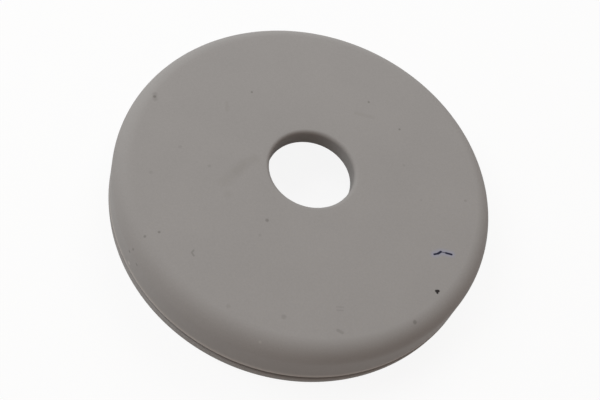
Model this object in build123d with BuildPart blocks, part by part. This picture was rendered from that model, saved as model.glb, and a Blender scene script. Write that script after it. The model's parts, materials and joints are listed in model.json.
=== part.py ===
"""Rubber cover: one hollow round moulding that pulls over the round platform of a bench mixer.

The origin is the middle of the face that the cover stands on, +Z is up, and sizes are in millimetres.
"""
import os
from math import sqrt

from build123d import *

# Outside form
outer_diameter = 84.0  # over the foot lip
height = 12.75
shoulder_rounding = 4.2  # the broad round between the flat top and the skirt
skirt_flare = 1.0  # how far the skirt leans outwards on its way down
skirt_set_back = 0.15  # how far the foot of the skirt stands back from the lip

# Walls of the hollow underneath
top_thickness = 4.3
skirt_thickness = 4.0  # at the lip

# Hole through the middle of the top
hole_diameter = 18.5
hole_rounding = 0.5
hole_lower_chamfer = 0.5

# Groove around the skirt, and the foot lip that it leaves below
lip_height = 2.1
groove_height = 0.8
groove_depth = 1.2

# Free edges of the skirt
skirt_edge_chamfer = 0.3
lip_chamfer = 0.3
foot_chamfer = 0.5
mouth_chamfer = 0.6  # lead-in that lets the cover slide over its platform

# Radii and levels that follow from the sizes above
outer_radius = outer_diameter / 2
inner_radius = outer_radius - skirt_thickness
hole_radius = hole_diameter / 2
skirt_radius = outer_radius - skirt_set_back
shoulder_radius = skirt_radius - skirt_flare
groove_radius = outer_radius - groove_depth
ceiling_level = height - top_thickness
groove_level = lip_height + groove_height

# The corner inside the shoulder is cut back until the wall there is as thick as the skirt's upper end
corner_wall = shoulder_radius - inner_radius
corner_set_back = 2 * shoulder_rounding - corner_wall - top_thickness
corner_reach = sqrt(2) * (shoulder_rounding - corner_wall)
least_ceiling_chamfer = 0.5
ceiling_chamfer = max(corner_set_back - corner_reach, least_ceiling_chamfer)

# Corners of the section through one side of the wall, as radius and level
hole_edge = (hole_radius, height)
shoulder = (shoulder_radius, height)
skirt_edge = (skirt_radius, groove_level)
groove_top = (groove_radius, groove_level)
groove_foot = (groove_radius, lip_height)
lip_edge = (outer_radius, lip_height)
foot_edge = (outer_radius, 0)
mouth_edge = (inner_radius, 0)
ceiling_corner = (inner_radius, ceiling_level)
hole_lower_edge = (hole_radius, ceiling_level)


def corner_at(sketch, place):
    """Finds the corner of a section that lies at a place given as radius and level."""
    return sketch.vertices().sort_by_distance((*place, 0))[0]


with BuildPart() as cover:
    with BuildSketch(Plane.XZ) as section:
        with BuildLine():
            Polyline(
                hole_edge, shoulder, skirt_edge, groove_top, groove_foot,
                lip_edge, foot_edge, mouth_edge, ceiling_corner, hole_lower_edge,
                close=True,
            )
        make_face()
        fillet(corner_at(section, shoulder), shoulder_rounding)
        fillet(corner_at(section, hole_edge), hole_rounding)
        chamfer(corner_at(section, hole_lower_edge), hole_lower_chamfer)
        chamfer(corner_at(section, ceiling_corner), ceiling_chamfer)
        chamfer(corner_at(section, mouth_edge), mouth_chamfer)
        chamfer(corner_at(section, skirt_edge), skirt_edge_chamfer)
        chamfer(corner_at(section, lip_edge), lip_chamfer)
        chamfer(corner_at(section, foot_edge), foot_chamfer)
    revolve(axis=Axis.Z)
cover.part.label = "cover"

os.makedirs("parts", exist_ok=True)
export_step(cover.part, "parts/cover.step")
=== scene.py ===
"""Dresses the rubber cover: its moulded body, its marked matte rubber, and the stage round it."""

import json
import logging
import math
from dataclasses import dataclass
from enum import Enum
from typing import Any, Iterable, TypeAlias

import bmesh
import bpy
from mathutils import Matrix, Vector


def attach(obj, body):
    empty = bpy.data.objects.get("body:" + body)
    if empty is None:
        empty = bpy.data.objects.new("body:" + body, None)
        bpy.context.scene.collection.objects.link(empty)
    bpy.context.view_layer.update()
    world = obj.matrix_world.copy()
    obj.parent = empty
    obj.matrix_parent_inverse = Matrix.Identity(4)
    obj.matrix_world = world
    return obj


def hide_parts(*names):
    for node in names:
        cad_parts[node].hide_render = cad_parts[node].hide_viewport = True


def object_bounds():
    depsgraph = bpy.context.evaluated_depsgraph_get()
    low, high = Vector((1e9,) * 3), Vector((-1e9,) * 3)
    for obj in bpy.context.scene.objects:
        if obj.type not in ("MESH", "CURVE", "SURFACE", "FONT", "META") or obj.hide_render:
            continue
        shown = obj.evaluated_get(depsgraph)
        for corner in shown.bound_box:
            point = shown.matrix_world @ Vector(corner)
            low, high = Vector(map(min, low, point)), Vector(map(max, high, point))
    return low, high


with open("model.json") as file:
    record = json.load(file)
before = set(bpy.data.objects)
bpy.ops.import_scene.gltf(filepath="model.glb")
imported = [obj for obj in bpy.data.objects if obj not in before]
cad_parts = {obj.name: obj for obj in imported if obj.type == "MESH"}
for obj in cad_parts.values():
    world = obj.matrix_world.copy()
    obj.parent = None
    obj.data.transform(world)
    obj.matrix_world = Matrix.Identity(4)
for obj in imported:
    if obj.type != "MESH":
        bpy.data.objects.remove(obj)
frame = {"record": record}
CAD_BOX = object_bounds()

log = logging.getLogger("rubber_cover")

MM = 0.001
FULL_TURN = 2 * math.pi
RIGHT_ANGLE = math.pi / 2
UP = (0, 0, 1)
SIDEWAYS = (1, 1, 0)  # a place times this has lost its height

Colour: TypeAlias = tuple[float, float, float]
Place: TypeAlias = tuple[float, float, float]
Number: TypeAlias = "float | Value"

WHITE: Colour = (1.0, 1.0, 1.0)
NOISE_MIDDLE = 0.5  # the value that noise lies about
MIX_FIRST, MIX_SECOND, MIX_RESULT = 6, 7, 2  # a Mix node's colour sockets, whose names others share


def mount_radius(name: str) -> float:
    """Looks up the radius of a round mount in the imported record.

    Args:
        name: The mount's name.

    Returns:
        Its radius in metres.
    """
    mounts = {mount["name"]: mount for mount in frame["record"]["mounts"]}
    return mounts[name]["dims"]["r_mm"] * MM


# ---------------------------------------------------------------- shader tools


def opaque(colour: Colour) -> tuple[float, float, float, float]:
    """Gives a colour the full opacity that a colour socket takes as its fourth number."""
    return (*colour, 1.0)


class Value:
    """A number inside a shader, which Python's operators can combine."""

    def __init__(self, shader: "Shader", socket: bpy.types.NodeSocket) -> None:
        """Wraps an output socket.

        Args:
            shader: The shader that the socket belongs to.
            socket: The output socket that carries the number.
        """
        self.shader = shader
        self.socket = socket

    def __add__(self, other: Number) -> "Value":
        """Adds a value or a number."""
        return self.shader.math("ADD", self, other)

    def __sub__(self, other: Number) -> "Value":
        """Takes a value or a number away."""
        return self.shader.math("SUBTRACT", self, other)

    def __rsub__(self, other: Number) -> "Value":
        """Takes this value away from a number."""
        return self.shader.math("SUBTRACT", other, self)

    def __mul__(self, other: Number) -> "Value":
        """Multiplies by a value or a number."""
        return self.shader.math("MULTIPLY", self, other)

    __radd__ = __add__
    __rmul__ = __mul__

    def clipped(self) -> "Value":
        """Limits the value to between 0 and 1."""
        return self.shader.math("ADD", self, 0.0, clamp=True)

    def larger(self, other: Number) -> "Value":
        """Keeps the larger of this and another value."""
        return self.shader.math("MAXIMUM", self, other)

    def varying(self, depth: float) -> "Value":
        """Turns noise between 0 and 1 into a variation that goes as far as the depth up and down."""
        return (self - NOISE_MIDDLE) * (2 * depth)

    def ramp(self, empty: float, full: float) -> "Value":
        """Goes smoothly from 0 to 1 between two values, in either direction.

        Args:
            empty: The value at which the result is 0.
            full: The value at which the result is 1.

        Returns:
            The smooth step.
        """
        falls = empty > full
        step = self.shader.node("ShaderNodeMapRange", {"interpolation_type": "SMOOTHSTEP"}, {
            "Value": self,
            "From Min": min(empty, full),
            "From Max": max(empty, full),
            "To Min": float(falls),
            "To Max": float(not falls),
        })
        return Value(self.shader, step.outputs["Result"])


class Shader:
    """The node tree of one material or world, with short ways to add nodes."""

    def __init__(self, owner: bpy.types.Material | bpy.types.World) -> None:
        """Empties the owner's node tree.

        Args:
            owner: The material or world whose nodes are to be made.
        """
        owner.use_nodes = True
        self.tree = owner.node_tree
        self.tree.nodes.clear()

    def node(self, kind: str, settings: dict[str, Any] | None = None,
             sockets: dict[str | int, Any] | None = None) -> bpy.types.Node:
        """Makes one node.

        Args:
            kind: The node's type.
            settings: Properties to set before its sockets, such as an operation.
            sockets: Values or links for its inputs, by name or number.

        Returns:
            The new node.
        """
        made = self.tree.nodes.new(kind)
        for name, setting in (settings or {}).items():
            setattr(made, name, setting)
        for name, content in (sockets or {}).items():
            content = content.socket if isinstance(content, Value) else content
            if isinstance(content, bpy.types.NodeSocket):
                self.tree.links.new(content, made.inputs[name])
            else:
                made.inputs[name].default_value = content
        return made

    def math(self, operation: str, first: Number, second: Number, clamp: bool = False) -> Value:
        """Combines two numbers.

        Args:
            operation: The Math node's operation.
            first: The first number or value.
            second: The second number or value.
            clamp: Whether to limit the result to between 0 and 1.

        Returns:
            The result.
        """
        settings = {"operation": operation, "use_clamp": clamp}
        made = self.node("ShaderNodeMath", settings, {0: first, 1: second})
        return Value(self, made.outputs["Value"])

    def vector(self, operation: str, *operands: Any) -> bpy.types.NodeSocket:
        """Combines vectors into a vector.

        Args:
            operation: The Vector Math node's operation.
            operands: Its vectors, as tuples or sockets.

        Returns:
            The new vector's socket.
        """
        made = self.node("ShaderNodeVectorMath", {"operation": operation}, dict(enumerate(operands)))
        return made.outputs["Vector"]

    def measure(self, operation: str, *operands: Any) -> Value:
        """Combines vectors into a number.

        Args:
            operation: The Vector Math node's operation.
            operands: Its vectors, as tuples or sockets.

        Returns:
            The number.
        """
        made = self.node("ShaderNodeVectorMath", {"operation": operation}, dict(enumerate(operands)))
        return Value(self, made.outputs["Value"])

    def scaled(self, vector: Any, scale: Number) -> bpy.types.NodeSocket:
        """Multiplies a vector or a colour by a number.

        Args:
            vector: The vector, as a tuple or a socket.
            scale: What to multiply it by.

        Returns:
            The new vector's socket.
        """
        made = self.node("ShaderNodeVectorMath", {"operation": "SCALE"}, {
            "Vector": vector,
            "Scale": scale,
        })
        return made.outputs["Vector"]

    def mix(self, share: Number, first: Any, second: Any) -> bpy.types.NodeSocket:
        """Blends two colours.

        Args:
            share: How much of the second colour shows.
            first: The colour at a share of 0, as a socket or four numbers.
            second: The colour at a share of 1.

        Returns:
            The blended colour's socket.
        """
        made = self.node("ShaderNodeMix", {"data_type": "RGBA"}, {
            "Factor": share,
            MIX_FIRST: first,
            MIX_SECOND: second,
        })
        return made.outputs[MIX_RESULT]

    def mix_surfaces(self, share: Number, first: bpy.types.Node,
                     second: bpy.types.Node) -> bpy.types.Node:
        """Blends two surfaces, or two backgrounds of a world.

        Args:
            share: How much of the second one shows.
            first: The node of the one at a share of 0.
            second: The node of the one at a share of 1.

        Returns:
            The blend's node.
        """
        return self.node("ShaderNodeMixShader", sockets={
            0: share,
            1: first.outputs[0],
            2: second.outputs[0],
        })

    def object_place(self) -> bpy.types.NodeSocket:
        """Finds each point's place on its piece.

        Returns:
            The place's socket, in millimetres.
        """
        coordinates = self.node("ShaderNodeTexCoord")
        scaled = self.node("ShaderNodeMapping", {"vector_type": "POINT"}, {
            "Vector": coordinates.outputs["Object"],
            "Scale": (1 / MM,) * 3,
        })
        return scaled.outputs["Vector"]

    def seen_plainly(self) -> Value:
        """Tells the rays that show a background from those that only carry light to the object.

        Returns:
            1 for camera, glossy and transmission rays, and 0 for others.
        """
        path = self.node("ShaderNodeLightPath")
        rays = ("Is Camera Ray", "Is Glossy Ray", "Is Transmission Ray")
        camera, glossy, transmitted = (Value(self, path.outputs[ray]) for ray in rays)
        return camera.larger(glossy).larger(transmitted)

    def noise(self, place: bpy.types.NodeSocket, grain: float, detail: float = 2.0) -> Value:
        """Makes soft noise between 0 and 1.

        Args:
            place: Where the noise is read, in millimetres.
            grain: The size of its grain in millimetres.
            detail: How many finer octaves it holds.

        Returns:
            The noise.
        """
        made = self.node("ShaderNodeTexNoise", {"noise_dimensions": "3D"}, {
            "Vector": place,
            "Scale": 1 / grain,
            "Detail": detail,
        })
        return Value(self, made.outputs[0])


# ---------------------------------------------------------------- the moulded body


@dataclass(frozen=True)
class Corner:
    """One corner of the moulding's section: its place before it is rounded, and its rounding."""

    radius: float
    level: float
    rounding: float
    steps: int


@dataclass
class CoverMoulding:
    """The cover's one moulded body, turned from a section; lengths are in metres.

    It has a flat top with a hole, a rounded shoulder, a leaning skirt and, below a groove, a foot lip.
    """

    outer_radius: float = CAD_BOX[1].x
    height: float = CAD_BOX[1].z
    platform_radius: float = mount_radius("platform_bore")
    hole_radius: float = mount_radius("centre_hole")
    top_thickness: float = 4.3 * MM
    skirt_flare: float = 1.0 * MM
    skirt_set_back: float = 0.15 * MM
    lip_height: float = 2.1 * MM
    groove_height: float = 0.8 * MM
    groove_depth: float = 1.2 * MM

    shoulder_rounding: float = 4.2 * MM
    ceiling_rounding: float = 0.8 * MM
    hole_rounding: float = 0.9 * MM
    hole_lower_rounding: float = 0.7 * MM
    edge_rounding: float = 0.4 * MM
    foot_rounding: float = 0.6 * MM
    inner_rounding: float = 0.2 * MM
    mouth_rounding: float = 0.6 * MM

    shoulder_steps: int = 28
    hole_steps: int = 10
    ceiling_steps: int = 8
    edge_steps: int = 6
    inner_steps: int = 3
    turn_steps: int = 320
    wall_spacing: float = 1.5 * MM

    @property
    def skirt_radius(self) -> float:
        """The radius of the skirt's lower edge."""
        return self.outer_radius - self.skirt_set_back

    @property
    def shoulder_radius(self) -> float:
        """The radius at which the skirt's line meets the top's."""
        return self.skirt_radius - self.skirt_flare

    @property
    def groove_level(self) -> float:
        """The level of the groove's upper face."""
        return self.lip_height + self.groove_height

    def corners(self) -> list[Corner]:
        """Lists the corners of the section, round it from the hole's upper edge.

        Returns:
            The ten corners in order.
        """
        groove_radius = self.outer_radius - self.groove_depth
        ceiling_level = self.height - self.top_thickness
        return [
            Corner(self.hole_radius, self.height, self.hole_rounding, self.hole_steps),
            Corner(self.shoulder_radius, self.height, self.shoulder_rounding, self.shoulder_steps),
            Corner(self.skirt_radius, self.groove_level, self.edge_rounding, self.edge_steps),
            Corner(groove_radius, self.groove_level, self.inner_rounding, self.inner_steps),
            Corner(groove_radius, self.lip_height, self.inner_rounding, self.inner_steps),
            Corner(self.outer_radius, self.lip_height, self.edge_rounding, self.edge_steps),
            Corner(self.outer_radius, 0.0, self.foot_rounding, self.edge_steps),
            Corner(self.platform_radius, 0.0, self.mouth_rounding, self.edge_steps),
            Corner(self.platform_radius, ceiling_level, self.ceiling_rounding, self.ceiling_steps),
            Corner(self.hole_radius, ceiling_level, self.hole_lower_rounding, self.ceiling_steps),
        ]

    def top_level(self, x: float, y: float) -> float:
        """Works out how high the upper surface lies.

        Args:
            x: Place across the cover.
            y: Place along the cover.

        Returns:
            The surface's height there, on the flat top or on the shoulder.
        """
        lean = math.atan(self.skirt_flare / (self.height - self.groove_level))
        flat_radius = self.shoulder_radius - rounding_reach(self.shoulder_rounding, RIGHT_ANGLE + lean)
        past_flat = math.hypot(x, y) - flat_radius
        if past_flat <= 0:
            return self.height
        rise = math.sqrt(max(self.shoulder_rounding ** 2 - past_flat ** 2, 0.0))
        return self.height - self.shoulder_rounding + rise

    def build(self) -> bpy.types.Object:
        """Turns the section round the axis.

        Returns:
            The finished piece.
        """
        mesh = bmesh.new()
        corners = self.corners()
        points = [mesh.verts.new((corner.radius, 0.0, corner.level)) for corner in corners]
        mesh.faces.new(points)
        for point, corner in zip(points, corners):
            reach = rounding_reach(corner.rounding, section_angle(point))
            bmesh.ops.bevel(mesh, geom=[point], offset=reach, offset_type="OFFSET",
                            segments=corner.steps, profile=0.5, affect="VERTICES",
                            clamp_overlap=True, material=-1)
        bmesh.ops.delete(mesh, geom=list(mesh.faces), context="FACES_ONLY")
        for edge in list(mesh.edges):
            cuts = int(edge.calc_length() / self.wall_spacing)
            if cuts:
                bmesh.ops.subdivide_edges(mesh, edges=[edge], cuts=cuts)
        bmesh.ops.spin(mesh, geom=[*mesh.verts, *mesh.edges], cent=(0, 0, 0), axis=UP,
                       angle=FULL_TURN, steps=self.turn_steps, use_merge=True)
        bmesh.ops.recalc_face_normals(mesh, faces=mesh.faces)
        for face in mesh.faces:
            face.smooth = True
        return finished_object("cover_moulding", mesh)


def rounding_reach(rounding: float, angle: float) -> float:
    """Finds how far from a corner its rounding begins.

    Args:
        rounding: The rounding's radius.
        angle: The corner's angle in radians.

    Returns:
        The length that the rounding takes from each side.
    """
    return rounding / math.tan(angle / 2)


def section_angle(point: bmesh.types.BMVert) -> float:
    """Measures the corner that two edges make at a point.

    Args:
        point: A point with two edges.

    Returns:
        The angle between the edges in radians.
    """
    first, second = (edge.other_vert(point).co - point.co for edge in point.link_edges)
    return first.angle(second)


def finished_object(name: str, mesh: bmesh.types.BMesh) -> bpy.types.Object:
    """Makes an object at the origin from a finished mesh.

    Args:
        name: The object's name.
        mesh: The mesh in the cover's own frame, which is freed.

    Returns:
        The object, linked to the scene.
    """
    data = bpy.data.meshes.new(name)
    mesh.to_mesh(data)
    mesh.free()
    made = bpy.data.objects.new(name, data)
    bpy.context.collection.objects.link(made)
    return made


# ---------------------------------------------------------------- marks on the rubber


@dataclass(frozen=True)
class Mark:
    """A mark on the rubber, drawn as a stroke between two points.

    Lengths are in millimetres. The drop says how far below the top a mark on the skirt lies.
    """

    start: tuple[float, float]
    end: tuple[float, float]
    width: float
    strength: float
    softness: float = 0.5
    drop: float | None = None

    def ends(self, moulding: CoverMoulding) -> list[Vector]:
        """Places the stroke's ends on the body.

        Args:
            moulding: The body that carries the mark.

        Returns:
            Both ends, in millimetres.
        """
        placed = []
        for x, y in (self.start, self.end):
            if self.drop is None:
                level = moulding.top_level(x * MM, y * MM) / MM
            else:
                level = moulding.height / MM - self.drop
            placed.append(Vector((x, y, level)))
        return placed


def spot(x: float, y: float, width: float, strength: float, softness: float = 0.5,
         drop: float | None = None) -> Mark:
    """Gives a round mark.

    Args:
        x: Its place across the cover.
        y: Its place along the cover.
        width: How wide it is.
        strength: How far it covers the rubber, from 0 to 1.
        softness: How gradual its edge is, from 0 for a sharp edge to 1.
        drop: How far below the top it lies, for a mark on the skirt.

    Returns:
        The mark.
    """
    return Mark((x, y), (x, y), width, strength, softness, drop)


class Stain(Enum):
    """What marks the rubber, as the colour that it leaves."""

    SMEAR = (0.200, 0.190, 0.172)
    DIRT = (0.070, 0.062, 0.055)
    SCUFF = (0.430, 0.410, 0.390)
    FAINT_INK = (0.270, 0.280, 0.380)
    INK = (0.004, 0.005, 0.020)
    PITCH = (0.010, 0.007, 0.007)


MARKS: dict[Stain, tuple[Mark, ...]] = {
    Stain.SMEAR: (
        Mark((-11.9, -3.4), (-13.4, -5.8), 1.8, 0.18, 0.9),
        Mark((-13.4, -5.8), (-14.2, -8.3), 2.0, 0.26, 0.9),
        Mark((-14.2, -8.3), (-15.4, -11.7), 2.0, 0.16, 0.9),
        spot(-13.7, -14.0, 1.4, 0.16, 0.9),
        Mark((4.2, 18.7), (8.2, 19.5), 0.9, 0.16, 0.9),
        Mark((-22.7, 7.2), (-21.9, 5.3), 0.7, 0.20, 0.9),
    ),
    Stain.DIRT: (
        spot(-36.9, 1.2, 0.7, 0.55),
        Mark((-37.2, 1.9), (-36.5, 0.6), 0.9, 0.20, 0.8),
        spot(-19.0, 12.6, 0.5, 0.45),
        spot(6.0, 23.3, 0.5, 0.45),
        spot(14.8, 19.3, 0.5, 0.45),
        spot(-4.3, -16.0, 0.7, 0.40),
        spot(-4.4, -19.7, 0.6, 0.12),
        spot(-24.1, -29.4, 0.5, 0.40),
        spot(-22.1, -27.5, 0.5, 0.45),
        spot(33.5, 7.8, 0.6, 0.20),
        spot(-29.3, -16.2, 0.7, 0.12),
        spot(-26.8, -8.0, 0.8, 0.12),
        spot(-19.6, -9.5, 0.7, 0.15),
        spot(5.8, -33.5, 0.9, 0.20),
        spot(-4.4, -35.8, 0.8, 0.12),
        spot(29.7, -24.0, 0.8, 0.40),
        spot(18.3, 10.2, 0.6, 0.12),
        spot(24.1, 3.3, 0.6, 0.10),
        Mark((-14.7, -28.2), (-14.8, -28.8), 0.35, 0.30),
        Mark((-14.8, -28.8), (-14.2, -29.2), 0.35, 0.30),
        Mark((16.1, -31.8), (17.0, -31.9), 0.6, 0.24),
        Mark((14.5, -27.5), (15.7, -27.0), 0.3, 0.14),
        Mark((14.7, -28.1), (15.8, -27.7), 0.3, 0.14),
        spot(-27.9, -31.1, 0.7, 0.60, drop=9.2),
        spot(-26.0, -32.0, 0.6, 0.45, drop=3.6),
        spot(-25.3, -31.9, 0.5, 0.30, drop=2.1),
        spot(-23.6, -33.8, 0.6, 0.40, drop=3.7),
    ),
    Stain.SCUFF: (
        spot(3.5, -39.4, 0.5, 0.45, drop=0.9),
        spot(-25.8, -32.6, 0.8, 1.00, drop=7.4),
    ),
    Stain.FAINT_INK: (
        Mark((29.9, -8.1), (31.2, -6.9), 1.3, 0.60, 0.8),
        Mark((31.2, -6.9), (33.4, -6.4), 1.3, 0.60, 0.8),
    ),
    Stain.INK: (
        Mark((29.9, -8.1), (30.6, -7.6), 0.40, 1.0, 0.3),
        Mark((30.6, -7.6), (31.1, -6.9), 0.48, 1.0, 0.3),
        Mark((31.1, -6.9), (32.2, -6.7), 0.26, 0.7, 0.3),
        Mark((32.2, -6.7), (33.4, -6.5), 0.44, 1.0, 0.3),
    ),
    Stain.PITCH: (
        Mark((32.2, -15.9), (32.6, -15.7), 0.56, 1.0, 0.3),
        Mark((32.4, -15.8), (32.5, -16.2), 0.46, 1.0, 0.3),
    ),
}


@dataclass(frozen=True)
class MarkedRubber:
    """Matte moulded rubber, light warm grey, with fine grain, faint clouding, dirt and pen marks.

    Sizes are in millimetres. The painted highlight is a lighter line where light catches the skirt's
    lower edge;
    its sizes are heights above that edge: it is full from its start to its core, and has faded at its
    width.
    Its margin keeps it off the hidden inner wall.
    """

    name: str = "marked_rubber"
    colour: Colour = (0.284, 0.275, 0.268)
    roughness: float = 0.85
    roughness_depth: float = 0.05
    gloss_level: float = 0.3
    cloud_size: float = 14.0
    cloud_depth: float = 0.05
    grain_size: float = 0.35
    grain_depth: float = 0.05
    grain_height: float = 0.02
    grain_strength: float = 0.3
    # painted highlight: a lighter line along the skirt's lower edge, where light catches it
    edge_highlight_colour: Colour = (0.450, 0.425, 0.400)
    edge_highlight_share: float = 0.8
    edge_highlight_start: float = 0.2
    edge_highlight_core: float = 0.4
    edge_highlight_width: float = 1.8
    edge_highlight_margin: float = 1.0

    def stroke(self, shader: Shader, place: bpy.types.NodeSocket, moulding: CoverMoulding,
               mark: Mark) -> Value:
        """Masks one mark.

        Args:
            shader: The shader being made.
            place: The point's place in millimetres.
            moulding: The body that carries the mark.
            mark: The mark.

        Returns:
            How far the mark covers the rubber.
        """
        start, end = mark.ends(moulding)
        along = end - start
        away = shader.vector("SUBTRACT", place, tuple(start))
        if along.length:
            share = shader.measure("DOT_PRODUCT", away, tuple(along / along.length_squared))
            away = shader.vector("SUBTRACT", away, shader.scaled(tuple(along), share.clipped()))
        distance = shader.measure("LENGTH", away)
        half = mark.width / 2
        return distance.ramp(half * (1 + mark.softness), half * (1 - mark.softness)) * mark.strength

    def coverage(self, shader: Shader, place: bpy.types.NodeSocket, moulding: CoverMoulding,
                 marks: Iterable[Mark]) -> Value:
        """Masks several marks of one kind.

        Args:
            shader: The shader being made.
            place: The point's place in millimetres.
            moulding: The body that carries the marks.
            marks: The marks.

        Returns:
            How far the marks cover the rubber.
        """
        first, *others = (self.stroke(shader, place, moulding, mark) for mark in marks)
        for other in others:
            first = first.larger(other)
        return first

    def painted_edge_highlight(self, shader: Shader, place: bpy.types.NodeSocket, moulding: CoverMoulding) -> Value:
        """Masks the painted highlight: a lighter line along the skirt's lower edge, just above the
        groove.

        Args:
            shader: The shader being made.
            place: The point's place in millimetres.
            moulding: The body that carries the line.

        Returns:
            How far the painted highlight covers the rubber.
        """
        edge = moulding.groove_level / MM
        level = shader.measure("DOT_PRODUCT", place, UP)
        starts = level.ramp(edge, edge + self.edge_highlight_start)
        ends = level.ramp(edge + self.edge_highlight_width, edge + self.edge_highlight_core)
        radius = shader.measure("LENGTH", shader.vector("MULTIPLY", place, SIDEWAYS))
        outside = radius.ramp(moulding.platform_radius / MM + self.edge_highlight_margin,
                              moulding.outer_radius / MM - self.edge_highlight_margin)
        return starts * ends * outside * self.edge_highlight_share

    def material(self, moulding: CoverMoulding) -> bpy.types.Material:
        """Makes the material.

        Args:
            moulding: The body that carries the marks.

        Returns:
            The material.
        """
        made = bpy.data.materials.new(self.name)
        shader = Shader(made)
        place = shader.object_place()
        clouds = shader.noise(place, self.cloud_size)
        grain = shader.noise(place, self.grain_size, detail=1.0)

        shade = 1.0 + clouds.varying(self.cloud_depth) + grain.varying(self.grain_depth)
        colour = shader.scaled(self.colour, shade)
        for stain, marks in MARKS.items():
            covered = self.coverage(shader, place, moulding, marks)
            colour = shader.mix(covered, colour, opaque(stain.value))
        # paints a highlight along the skirt's lower edge, lighter where light catches that edge
        colour = shader.mix(self.painted_edge_highlight(shader, place, moulding), colour, opaque(self.edge_highlight_colour))

        bump = shader.node("ShaderNodeBump", sockets={
            "Strength": self.grain_strength,
            "Distance": self.grain_height * MM,
            "Height": grain,
        })
        surface = shader.node("ShaderNodeBsdfPrincipled", sockets={
            "Base Color": colour,
            "Roughness": self.roughness + clouds.varying(self.roughness_depth),
            "Specular IOR Level": self.gloss_level,
            "Normal": bump.outputs["Normal"],
        })
        shader.node("ShaderNodeOutputMaterial", sockets={"Surface": surface.outputs["BSDF"]})
        return made


# ---------------------------------------------------------------- stage, light and camera


@dataclass(frozen=True)
class SoftLamp:
    """A large round lamp that faces the cover.

    Angles are in degrees, lengths in metres and the power in watts.
    """

    name: str
    azimuth: float
    power: float
    elevation: float = 45.0
    distance: float = 0.7
    width: float = 0.45
    tint: Colour = (0.93, 0.98, 1.0)

    def build(self, target: Vector) -> None:
        """Makes the lamp.

        Args:
            target: The point that it faces.
        """
        data = bpy.data.lights.new(self.name, "AREA")
        data.shape = "DISK"
        data.size = self.width
        data.energy = self.power
        data.color = self.tint
        lamp = bpy.data.objects.new(self.name, data)
        azimuth, elevation = math.radians(self.azimuth), math.radians(self.elevation)
        towards = Vector((
            math.cos(azimuth) * math.cos(elevation),
            math.sin(azimuth) * math.cos(elevation),
            math.sin(elevation),
        ))
        lamp.location = target + towards * self.distance
        lamp.rotation_mode = "QUATERNION"
        lamp.rotation_quaternion = towards.to_track_quat("Z", "Y")
        bpy.context.collection.objects.link(lamp)


@dataclass
class Stage:
    """The pale floor, the soft lamps and the camera. Lengths are in metres and angles in degrees."""

    floor_radius: float = 3.0
    floor_sides: int = 64
    floor_level: float = -0.05 * MM
    floor_colour: Colour = (0.80, 0.80, 0.80)
    floor_whiteness: float = 0.90
    world_colour: Colour = (1.0, 0.82, 0.72)
    world_strength: float = 0.36
    lamps: tuple[SoftLamp, ...] = (
        SoftLamp("back_lamp", azimuth=90.0, power=1.93),
        SoftLamp("side_lamp", azimuth=180.0, power=2.90),
    )

    camera_elevation: float = 57.76
    camera_roll: float = 22.84
    camera_distance: float = 0.1398
    focal_length: float = 39.58
    aim: Place = (0.00016, -0.00616, 0.00887)

    def build_floor(self) -> None:
        """Makes the floor, which looks white, keeps a soft shadow and is clear from below."""
        mesh = bmesh.new()
        bmesh.ops.create_circle(mesh, cap_ends=True, segments=self.floor_sides,
                                radius=self.floor_radius,
                                matrix=Matrix.Translation((0, 0, self.floor_level)))
        floor = finished_object("floor", mesh)
        made = bpy.data.materials.new("pale_floor")
        shader = Shader(made)
        lit = shader.node("ShaderNodeBsdfDiffuse", sockets={"Color": opaque(self.floor_colour)})
        white = shader.node("ShaderNodeEmission", sockets={"Color": opaque(WHITE), "Strength": 1.0})
        both = shader.mix_surfaces(shader.seen_plainly() * self.floor_whiteness, lit, white)
        clear = shader.node("ShaderNodeBsdfTransparent")
        side = shader.node("ShaderNodeNewGeometry")
        from_below = Value(shader, side.outputs["Backfacing"])
        one_sided = shader.mix_surfaces(from_below, both, clear)
        shader.node("ShaderNodeOutputMaterial", sockets={"Surface": one_sided.outputs[0]})
        floor.data.materials.append(made)

    def build_world(self) -> None:
        """Makes the even light from all round, which looks white behind the floor."""
        world = bpy.data.worlds.new("studio")
        bpy.context.scene.world = world
        shader = Shader(world)
        soft = shader.node("ShaderNodeBackground", sockets={
            "Color": opaque(self.world_colour),
            "Strength": self.world_strength,
        })
        white = shader.node("ShaderNodeBackground", sockets={"Color": opaque(WHITE), "Strength": 1.0})
        both = shader.mix_surfaces(shader.seen_plainly(), soft, white)
        shader.node("ShaderNodeOutputWorld", sockets={"Surface": both.outputs[0]})

    def build_camera(self) -> None:
        """Makes the camera, which looks down along +Y and is rolled about its own axis."""
        data = bpy.data.cameras.new("camera")
        data.lens = self.focal_length
        camera = bpy.data.objects.new("camera", data)
        tilt = Matrix.Rotation(RIGHT_ANGLE - math.radians(self.camera_elevation), 4, "X")
        turned = tilt @ Matrix.Rotation(math.radians(self.camera_roll), 4, "Z")
        back = turned.to_3x3() @ Vector(UP)
        place = Vector(self.aim) + back * self.camera_distance
        camera.matrix_world = Matrix.Translation(place) @ turned
        bpy.context.collection.objects.link(camera)
        bpy.context.scene.camera = camera

    def build(self, target: Vector) -> None:
        """Makes everything round the cover.

        Args:
            target: The point that the lamps face.
        """
        bpy.context.scene.view_settings.view_transform = "Standard"
        self.build_world()
        self.build_floor()
        for lamp in self.lamps:
            lamp.build(target)
        self.build_camera()


def main() -> None:
    """Builds the cover and its stage."""
    logging.basicConfig(level=logging.INFO, format="%(message)s")
    moulding = CoverMoulding()
    body = moulding.build()
    body.data.materials.append(MarkedRubber().material(moulding))
    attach(body, "root")
    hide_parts("cover")
    log.info("%s: %d faces", body.name, len(body.data.polygons))
    Stage().build(Vector((0, 0, moulding.height)))


if __name__ == "__main__":
    main()
